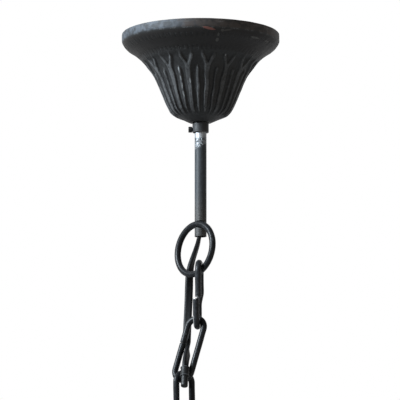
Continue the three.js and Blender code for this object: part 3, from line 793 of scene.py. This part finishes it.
def collarFinish():
    finish = Finish("collarPaint", specular=0.3)
    mottle = finish.place.noise(0.5, 4, 0.6)
    grain = finish.place.noise(2.4, 3)
    height = finish.place.part(2)
    top, low = collar["top"], collar["top"] - collar["height"]
    edge = (1 - height.rise(low + 0.2, low + 1)).most(height.rise(top - 1, top - 0.3))
    worn = edge * mottle.rise(0.4, 0.65)
    colour = (worn * 0.6).blend(mottle.blend(grey(0.016), grey(0.027, (0.97, 1, 1.05))), grey(0.08))
    return finish.fill(colour, 0.42 + mottle * 0.2, height=mottle * 0.5 + grain * 0.5, depth=0.1)


def darkSteelFinish():
    finish = Finish("darkSteel", metallic=0.7, specular=0.4)
    mottle = finish.place.noise(0.9, 4, 0.6)
    colour = mottle.rise(0.35, 0.7).blend(grey(0.012), grey(0.035))
    return finish.fill(colour, 0.38 + mottle * 0.25, height=mottle, depth=0.08)


def makeCollar():
    c = collar
    low = c["top"] - c["height"]
    profile = rounded([(c["bore"], low), (c["radius"], low), (c["radius"], c["top"]), (c["bore"], c["top"])],
                      c["rounding"], 4)
    holePlace = Matrix.Translation((0, 0, c["screwHeight"] * mm)) @ alongMinusX
    hole = cylinder(c["screwHole"], 0, c["holeReach"], holePlace)
    piece = pieceOf(carved(spun(profile, roundSteps), hole), "collar", collarFinish())
    return settle(piece, "collar", "canopy_collar")


def makeSetScrew():
    s = setScrew
    start = collar["radius"] + s["clear"]
    profile = rounded([
        (0, -s["length"]), (s["radius"] * 0.8, -s["length"]), (s["radius"], -s["length"] + 0.5),
        (s["radius"], 0), (s["head"], 0), (s["head"], s["headHeight"]), (0, s["headHeight"]),
    ], s["rounding"], 4)
    slot = boxAt((s["slotLength"], s["slot"], s["slotDepth"] * 2), (0, 0, s["headHeight"]))
    bm = carved(spun(profile, s["steps"], closed=False), slot)
    place = Matrix.Translation(Vector((-start, 0, collar["screwHeight"])) * mm) @ alongMinusX
    bmesh.ops.transform(bm, matrix=place, verts=bm.verts)
    piece = pieceOf(bm, "setScrew", darkSteelFinish())
    return settle(piece, "clamp_screw", "set_screw")


makeCollar()
makeSetScrew()
print("collar made")


# Loops of wire: the ring and the links. x is across a loop, y through it and z along it
loops = {
    "ring": {"middle": (-4.6885, -3.289, -183.7501), "across": (0.6717, -0.7408, 0),
             "through": (0.736, 0.6674, -0.1132)},
    "link1": {"middle": (-1.8344, -10.6227, -222.8066), "across": (-0.1389, -0.9885, -0.0599),
              "through": (0.9903, -0.1392, 0.0004)},
    "link2": {"middle": (-9.2104, -10.6234, -268.3674), "across": (-0.8163, 0.5411, 0.202),
              "through": (-0.5105, -0.8395, 0.186)},
    "link3": {"middle": (-13.3869, -13.404, -314.851), "across": (-0.7977, -0.6031, 0.005),
              "through": (0.6028, -0.7971, 0.0356)},
}


def loopPlace(name):
    loop = loops[name]
    across = Vector(loop["across"]).normalized()
    through = Vector(loop["through"])
    through = (through - across * through.dot(across)).normalized()
    along = across.cross(through)
    place = Matrix((across, through, along)).transposed().to_4x4()
    place.translation = Vector(loop["middle"]) * mm
    return place


# Tube, with a cross hole for the ring near its open end. The ring crosses it that far above the end and
# aside of the axis, at the angle ringAt round the ring
tube = {"radius": 5, "bore": 4.3, "top": -20, "end": -172.8, "rounding": 0.25, "rows": 40, "ringAbove": 10.4,
        "ringAside": 3.25, "ringAt": 88.1, "hole": 3.25, "holeDrop": 0.2, "holeReach": 12, "holeSteps": 48,
        "bareEnd": -97}


def tubeFinish():
    finish = Finish("tubePaint", specular=0.3)
    place = finish.place
    height = place.part(2)
    mottle = place.noise(0.45, 5, 0.62)
    fine = place.noise(1.6, 4, 0.6)
    streak = place.stretched((1, 1, 0.08)).noise(0.9, 3, 0.6)
    bluish = (0.9, 1.0, 1.1)
    paint = mottle.rise(0.3, 0.75).blend(grey(0.017, bluish), grey(0.038, bluish))
    bands = place.stretched((1, 1, 0.03)).noise(0.55, 3, 0.6).rise(0.42, 0.6)
    paint = (bands * 0.55).blend(paint, grey(0.036, (0.8, 0.98, 1.2)))

    # Warm and dusty towards the lower end, with pale flecks
    low = 1 - height.rise(-158, -128)
    dust = fine.rise(0.4, 0.62).blend(grey(0.014, (1.05, 1, 0.93)), grey(0.066, (1.08, 1, 0.9)))
    paint = (low * 0.75).blend(paint, dust)
    flecks = (1 - place.spots(0.75).rise(0.12, 0.22)) * (0.4 + 0.6 * low)
    paint = (flecks * 0.8).blend(paint, grey(0.15))

    # The bare patch under the collar, with a ragged lower edge and dark specks left in it
    ragged = (fine - 0.5) * 5 + (streak - 0.5) * 3
    bareEnd = tube["bareEnd"]
    bare = (height + ragged - place.part(0) * 0.5).rise(bareEnd, bareEnd + 0.8)
    nearEnd = 1 - height.rise(bareEnd + 7.5, bareEnd + 9.5)
    bare = bare * (1 - nearEnd * fine.rise(0.5, 0.55).most(mottle.rise(0.52, 0.56)))
    steel = streak.rise(0.35, 0.7).blend(grey(0.26, (0.95, 1.0, 1.06)), grey(0.52, (0.97, 1, 1.03)))
    rough = 0.46 + mottle * 0.15 - bare * 0.04
    relief = fine * 0.5 + mottle * 0.5 - bare * 0.6
    return finish.fill(bare.blend(paint, steel), rough, bare * 0.85, height=relief, depth=0.16)


def makeTube():
    t = tube
    radius, low, top = t["radius"], t["end"], t["top"]
    profile = rounded([(t["bore"], low), (radius, low), (radius, top), (t["bore"], top)], t["rounding"])
    corner = max(i for i, (r, z) in enumerate(profile) if r == radius and z < (low + top) / 2)
    outer = [(radius, z) for z in np.linspace(low + 1, top - 1, t["rows"])]
    profile = profile[:corner + 1] + outer + profile[corner + 1:]
    ringPlace = loopPlace("ring").to_3x3()
    facing = (ringPlace @ Vector((0, 1, 0)) * Vector((1, 1, 0))).normalized()
    crossing = facing * -t["ringAside"] + Vector((0, 0, low + t["ringAbove"] - t["holeDrop"]))
    at = math.radians(t["ringAt"])
    axis = ringPlace @ Vector((-math.sin(at), 0, math.cos(at)))
    holePlace = Matrix.Translation(crossing * mm) @ axis.to_track_quat("Z", "X").to_matrix().to_4x4()
    hole = cylinder(t["hole"], -t["holeReach"], t["holeReach"], holePlace, t["holeSteps"])
    piece = pieceOf(carved(spun(profile, roundSteps), hole), "downTube", tubeFinish())
    return settle(piece, "stem", "down_tube")


makeTube()
print("tube made")


# Wire of the ring and the links. A link is two bows of radius bow, that far above and below its middle, and
# two legs, with a split in the leg on its +x side. A sprung link's ends stand apart through the loop
wire = {"ringWire": 5.4, "ringRadius": 21.5, "linkWire": 5.2, "bow": 8, "straight": 18.5, "sides": 32,
        "ringSteps": 160, "bowSteps": 36, "legSteps": 22, "twist": 6, "endRounding": 0.45, "unevenness": 0.1,
        "ringUnevenScale": 90, "linkUnevenScale": 110,
        "splitBare": (0.1, 1.6), "highlightAt": -22, "highlightReach": (3.5, 5.5), "highlightSide": (0.9, 2.1)}
links = [
    {"name": "link1", "body": "first_link", "node": "link_1", "split": -3.0, "gap": 1.0, "spring": 0.95,
     "bare": 1.0, "tone": 1.9},
    {"name": "link2", "body": "second_link", "node": "link_2", "split": 4.0, "gap": 0.4, "spring": 0.0,
     "bare": 0.0, "tone": 1.0},
    {"name": "link3", "body": "third_link", "node": "link_3", "split": -6.0, "gap": 0.4, "spring": 0.0,
     "bare": 0.0, "tone": 1.0},
]


# Black paint on wire, bare where the mesh says so, which on the first link also paints a highlight as bare
# metal. tone is how pale it is, and shift moves the pattern
def wireFinish(name, shift, tone=1.0):
    finish = Finish(name, specular=0.14)
    place = finish.place.stretched((1, 1, 1), shift)
    broad = place.noise(0.09, 3, 0.6)
    mottle = place.noise(0.55, 5, 0.62)
    fine = place.noise(2.1, 3, 0.6)
    dark, light = grey(0.006 * tone, (0.96, 1.0, 1.08)), grey(0.013 * tone, (0.94, 1.0, 1.12))
    paint = mottle.rise(0.3, 0.75).blend(dark, light)
    scuffed = broad.rise(0.54, 0.64) * mottle.rise(0.48, 0.62)
    paint = (scuffed * 0.6).blend(paint, grey(0.05, (0.97, 1.0, 1.05)))
    flecks = (1 - place.spots(0.45).rise(0.04, 0.09)) * broad.rise(0.52, 0.64)
    paint = (flecks * 0.6).blend(paint, grey(0.14))
    bare = (finish.carried("bare") * (0.55 + 0.9 * fine)).rise(0.42, 0.6)
    colour = bare.blend(paint, fine.blend(grey(0.22, (1.0, 1.0, 1.02)), grey(0.42)))
    rough = 0.29 + mottle * 0.18
    relief = mottle * 0.6 + fine * 0.4 - bare * 0.5
    return finish.fill(colour, rough, bare * 0.85, height=relief, depth=0.05)


def makeRing():
    bm = bmesh.new()
    circle = bmesh.ops.create_circle(bm, segments=wire["sides"], radius=wire["ringWire"] / 2 * mm)["verts"]
    bmesh.ops.translate(bm, vec=(wire["ringRadius"] * mm, 0, 0), verts=circle)
    bmesh.ops.spin(bm, geom=list(bm.verts) + list(bm.edges), cent=(0, 0, 0), axis=(0, 1, 0), angle=math.tau,
                   steps=wire["ringSteps"], use_merge=True)
    bmesh.ops.remove_doubles(bm, verts=bm.verts, dist=1e-7)
    bmesh.ops.recalc_face_normals(bm, faces=bm.faces)
    roughen(bm, wire["ringUnevenScale"])
    bmesh.ops.transform(bm, matrix=loopPlace("ring"), verts=bm.verts)
    piece = pieceOf(bm, "hangingRing", wireFinish("ringPaint", (3, 11, 7)))
    return settle(piece, "ring", "hanging_ring")


# Moves each point a little along its normal, as painted wire is never quite even
def roughen(bm, scale):
    bm.normal_update()
    moves = [(v, v.normal * wire["unevenness"] * mm * noise.noise(v.co * scale)) for v in bm.verts]
    for vert, move in moves:
        vert.co += move


# Drawn from the split's upper end: up, over the upper bow, down the other leg, round the lower bow, and up to
# the split's lower end
def makeLink(link):
    bow, straight = wire["bow"] * mm, wire["straight"] * mm
    half, split = link["gap"] / 2 * mm, link["split"] * mm
    bm = bmesh.new()
    bareLayer = bm.verts.layers.float.new("bare")
    ring = bmesh.ops.create_circle(bm, segments=wire["sides"], radius=wire["linkWire"] / 2 * mm)["verts"]
    bmesh.ops.translate(bm, vec=(bow, 0, split + half), verts=ring)
    last = list(ring) + list({e for v in ring for e in v.link_edges})

    def leg(distance, steps):
        nonlocal last
        for _ in range(steps):
            edges = [g for g in last if isinstance(g, bmesh.types.BMEdge)]
            made = bmesh.ops.extrude_edge_only(bm, edges=edges)["geom"]
            verts = [g for g in made if isinstance(g, bmesh.types.BMVert)]
            bmesh.ops.translate(bm, vec=(0, 0, distance / steps), verts=verts)
            touching = {e for v in verts for e in v.link_edges}
            last = verts + [e for e in touching if set(e.verts) <= set(verts)]

    def bend(centre):
        nonlocal last
        made = bmesh.ops.spin(bm, geom=last, cent=(0, 0, centre), axis=(0, -1, 0), angle=math.pi,
                              steps=wire["bowSteps"])["geom_last"]
        last = [g for g in made if not isinstance(g, bmesh.types.BMFace)]

    leg(straight - split - half, wire["legSteps"] // 2)
    bend(straight)
    leg(-2 * straight, wire["legSteps"])
    bend(-straight)
    leg(split - half + straight, wire["legSteps"] // 2)
    bmesh.ops.remove_doubles(bm, verts=bm.verts, dist=1e-7)
    bmesh.ops.holes_fill(bm, edges=[e for e in bm.edges if e.is_boundary], sides=0)
    bmesh.ops.recalc_face_normals(bm, faces=bm.faces)

    # Bare metal at the split's ends, stronger on their side towards the light, and a painted highlight, made
    # as bare metal, low on that leg on its side towards the light
    for vert in bm.verts:
        if vert.co.x > 0:
            away = (abs(vert.co.z - split) - half) / mm
            aside = -vert.co.y / mm
            atSplit = (1 - smoothStep(*wire["splitBare"], away)) * (0.3 + 0.7 * smoothStep(-1.5, 1, aside))
            fromHighlight = abs(vert.co.z / mm - wire["highlightAt"])
            # painted highlight, low on the leg
            wearAndHighlight = (1 - smoothStep(*wire["highlightReach"], fromHighlight)) * smoothStep(*wire["highlightSide"], aside)
            vert[bareLayer] = link["bare"] * max(atSplit, wearAndHighlight * 0.75)
    rims = [e for e in bm.edges if len(e.link_faces) == 2 and any(len(f.verts) > 8 for f in e.link_faces)]
    bmesh.ops.bevel(bm, geom=rims, offset=wire["endRounding"] * mm, offset_type="OFFSET", segments=3,
                    profile=0.5, material=-1, affect="EDGES")

    # The spring of the split: one end stands to each side, and the other leg twists
    for vert in bm.verts:
        below = (split - vert.co.z) / mm
        if vert.co.x > 0:
            side = -math.copysign(1, below)
        else:
            side = 1 - 2 * smoothStep(-wire["twist"], wire["twist"], below)
        vert.co.y += link["spring"] * side * mm
    roughen(bm, wire["linkUnevenScale"])
    bmesh.ops.transform(bm, matrix=loopPlace(link["name"]), verts=bm.verts)
    paint = wireFinish(link["name"] + "Paint", (link["split"], 5, 2), link["tone"])
    return settle(pieceOf(bm, link["name"], paint), link["body"], link["node"])


makeRing()
for link in links:
    makeLink(link)
print("ring and links made")


# What the canopy hides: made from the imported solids, with their edges rounded
softening = {"merge": 0.002, "flatAngle": 1.5, "creaseAngle": 34, "bevelAngle": 40, "bevelSegments": 2}


def softened(node, name, material, width):
    s = softening
    bm = bmesh.new()
    bm.from_mesh(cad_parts[node].data)
    bmesh.ops.remove_doubles(bm, verts=bm.verts, dist=s["merge"] * mm)
    bmesh.ops.dissolve_limit(bm, angle_limit=math.radians(s["flatAngle"]), verts=bm.verts, edges=bm.edges)
    piece = pieceOf(bm, name, material, s["creaseAngle"])
    bevel = piece.modifiers.new("rounding", "BEVEL")
    bevel.width = width * mm
    bevel.segments = s["bevelSegments"]
    bevel.limit_method = "ANGLE"
    bevel.angle_limit = math.radians(s["bevelAngle"])
    bevel.use_clamp_overlap = True
    return settle(piece, "stem", node)


# Bare metal, mottled from one grey to another
def metalFinish(name, low, high, tint, roughness):
    finish = Finish(name, metallic=0.9)
    mottle = finish.place.noise(0.35, 5, 0.62)
    fine = finish.place.noise(2.6, 3, 0.6)
    colour = mottle.rise(0.3, 0.7).blend(grey(low, tint), grey(high, tint))
    return finish.fill(colour, roughness + mottle * 0.22, height=fine * 0.6 + mottle * 0.4, depth=0.06)


# Plastic, mottled down to a share of its colour
def mouldedFinish(name, tint, dark, roughness=0.45):
    finish = Finish(name, specular=0.4)
    mottle = finish.place.noise(0.3, 4, 0.6)
    fine = finish.place.noise(1.9, 3, 0.5)
    colour = mottle.rise(0.35, 0.7).blend(grey(1, tint), grey(dark, tint))
    return finish.fill(colour, roughness + fine * 0.15, height=fine, depth=0.04)


zinc = metalFinish("dullZinc", 0.32, 0.5, (1, 1, 0.97), 0.32)
brass = metalFinish("agedBrass", 0.35, 0.55, (1, 0.7, 0.28), 0.28)
moulding = mouldedFinish("paleMoulding", (0.66, 0.6, 0.48), 0.75)
brownCore = mouldedFinish("brownCore", (0.11, 0.04, 0.018), 0.8, 0.35)
blueCore = mouldedFinish("blueCore", (0.02, 0.11, 0.38), 0.85, 0.35)

# A node, its slot, its finish and how far its edges are rounded
hidden = [
    ("ceiling_strap", "plated_steel", zinc, 0.35),
    ("washer_upper", "plated_steel", zinc, 0.25),
    ("washer_lower", "plated_steel", zinc, 0.25),
    ("tube_nut_upper", "nut_brass", brass, 0.45),
    ("tube_nut_lower", "nut_brass", brass, 0.45),
    ("cord_grip", "pale_moulding", moulding, 0.5),
    ("grip_screw", "plated_steel", zinc, 0.2),
    ("terminal_block", "pale_moulding", moulding, 0.4),
    ("block_screw", "plated_steel", zinc, 0.2),
    ("sleeve_brown", "nut_brass", brass, 0.15),
    ("sleeve_blue", "nut_brass", brass, 0.15),
    *((f"terminal_screw_{which}", "plated_steel", zinc, 0.12)
      for which in ("brown_1", "brown_2", "blue_1", "blue_2")),
    ("core_brown", "core_brown", brownCore, 0.1),
    ("core_blue", "core_blue", blueCore, 0.1),
]


def camelCase(name):
    words = name.split("_")
    return words[0] + "".join(word.capitalize() for word in words[1:])


for node, slot, material, width in hidden:
    softened(node, camelCase(node), material, width)
print("inner pieces made")
